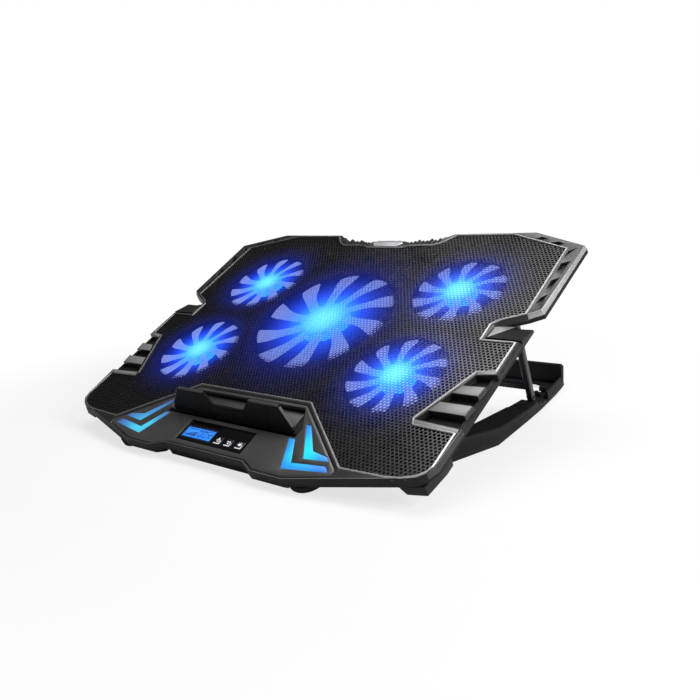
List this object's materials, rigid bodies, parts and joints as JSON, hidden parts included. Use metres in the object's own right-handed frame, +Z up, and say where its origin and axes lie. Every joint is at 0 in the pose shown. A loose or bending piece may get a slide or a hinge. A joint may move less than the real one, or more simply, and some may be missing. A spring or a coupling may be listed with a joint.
{
  "type": "laptop cooling pad",
  "caption": "Tilting laptop cooler with a perforated deck over lit fans, a front panel with display and keys, a flip-up laptop stop and a folding stand with a prop.",
  "frame": {"origin": "on the ground, under the middle of the whole object with the stand raised", "axes": "+X to the user's right, +Y away from the user, +Z up; the deck is tilted up towards +Y"},
  "size_m": [0.37, 0.2966, 0.1391],
  "materials": {
    "satin_black_plastic": "satin moulded ABS, fine grain",
    "perforated_metal": "black powder-coated steel sheet",
    "black_plastic": "matt moulded ABS",
    "panel_grey": "satin dark grey ABS",
    "badge_silver": "brushed, blank",
    "window_black": "polished black acrylic",
    "display_blue": "backlit display",
    "key_black": "gloss key cap with a pale rim",
    "lens_cyan": "lit translucent light guide",
    "rotor_white": "translucent rotor lit from below",
    "steel_pin": "ground steel rod",
    "screw_steel": "blackened steel",
    "rubber_black": "matt elastomer",
    "circuit_board": "solder-masked fibreglass board",
    "led_blue": "small lamp",
    "socket_metal": "plated steel shell",
    "wire_black": "PVC insulation",
    "stand_grey": "satin dark grey ABS"
  },
  "bodies": {
    "deck": {"top_frame": "satin_black_plastic", "mesh_panel": "perforated_metal", "control_panel": "panel_grey", "bottom_shell": "black_plastic", "badge_plate": "badge_silver", "lcd_window": "window_black", "lcd_screen": "display_blue", "lens_left": "lens_cyan", "lens_right": "lens_cyan", "stop_pin": "steel_pin", "fan_base_c": "black_plastic", "fan_base_rl": "black_plastic", "fan_base_rr": "black_plastic", "fan_base_fl": "black_plastic", "fan_base_fr": "black_plastic", "fan_leds": "led_blue", "control_board": "circuit_board", "usb_board": "circuit_board", "usb_socket_a": "socket_metal", "usb_socket_b": "socket_metal", "wire_harness": "wire_black", "deck_screws": "screw_steel", "front_pads": "rubber_black", "corner_block_left": "black_plastic", "corner_block_right": "black_plastic", "prop_pins": "steel_pin", "base_pins": "steel_pin"},
    "stand": {"stand_base": "stand_grey", "stand_strips": "rubber_black"},
    "prop": {"prop_frame": "black_plastic"},
    "stop": {"laptop_stop": "black_plastic"},
    "rotor_c": {"fan_rotor_c": "rotor_white"},
    "rotor_rl": {"fan_rotor_rl": "rotor_white"},
    "rotor_rr": {"fan_rotor_rr": "rotor_white"},
    "rotor_fl": {"fan_rotor_fl": "rotor_white"},
    "rotor_fr": {"fan_rotor_fr": "rotor_white"},
    "key_left_body": {"key_left": "key_black"},
    "key_middle_body": {"key_middle": "key_black"},
    "key_right_body": {"key_right": "key_black"}
  },
  "joints": [
    {"name": "stand_fold", "type": "hinge", "parent": "deck", "child": "stand", "pos_m": [0, -0.10515, 0.008], "axis": [1, 0, 0], "range_deg": [0, 27]},
    {"name": "prop_fold", "type": "hinge", "parent": "deck", "child": "prop", "pos_m": [0, 0.03374, 0.09055], "axis": [1, 0, 0], "range_deg": [0, 93.55]},
    {"name": "stop_flap", "type": "hinge", "parent": "deck", "child": "stop", "pos_m": [0, -0.11124, 0.02487], "axis": [1, 0, 0], "range_deg": [-73, 0]},
    {"name": "fan_spin_c", "type": "hinge", "parent": "deck", "child": "rotor_c", "pos_m": [0, -0.00014, 0.07666], "axis": [0, -0.454, 0.891], "continuous": true},
    {"name": "fan_spin_rl", "type": "hinge", "parent": "deck", "child": "rotor_rl", "pos_m": [-0.1042, 0.04085, 0.09754], "axis": [0, -0.454, 0.891], "continuous": true},
    {"name": "fan_spin_rr", "type": "hinge", "parent": "deck", "child": "rotor_rr", "pos_m": [0.1042, 0.04085, 0.09754], "axis": [0, -0.454, 0.891], "continuous": true},
    {"name": "fan_spin_fl", "type": "hinge", "parent": "deck", "child": "rotor_fl", "pos_m": [-0.1044, -0.04736, 0.0526], "axis": [0, -0.454, 0.891], "continuous": true},
    {"name": "fan_spin_fr", "type": "hinge", "parent": "deck", "child": "rotor_fr", "pos_m": [0.1044, -0.04736, 0.0526], "axis": [0, -0.454, 0.891], "continuous": true},
    {"name": "key_press_left", "type": "slide", "parent": "deck", "child": "key_left_body", "axis": [0, 0.454, -0.891], "range_m": [0, 0.0005]},
    {"name": "key_press_middle", "type": "slide", "parent": "deck", "child": "key_middle_body", "axis": [0, 0.454, -0.891], "range_m": [0, 0.0005]},
    {"name": "key_press_right", "type": "slide", "parent": "deck", "child": "key_right_body", "axis": [0, 0.454, -0.891], "range_m": [0, 0.0005]}
  ],
  "couplings": [
    {"joint": "prop_fold", "follows": "stand_fold", "ratio": 3.4643}
  ]
}
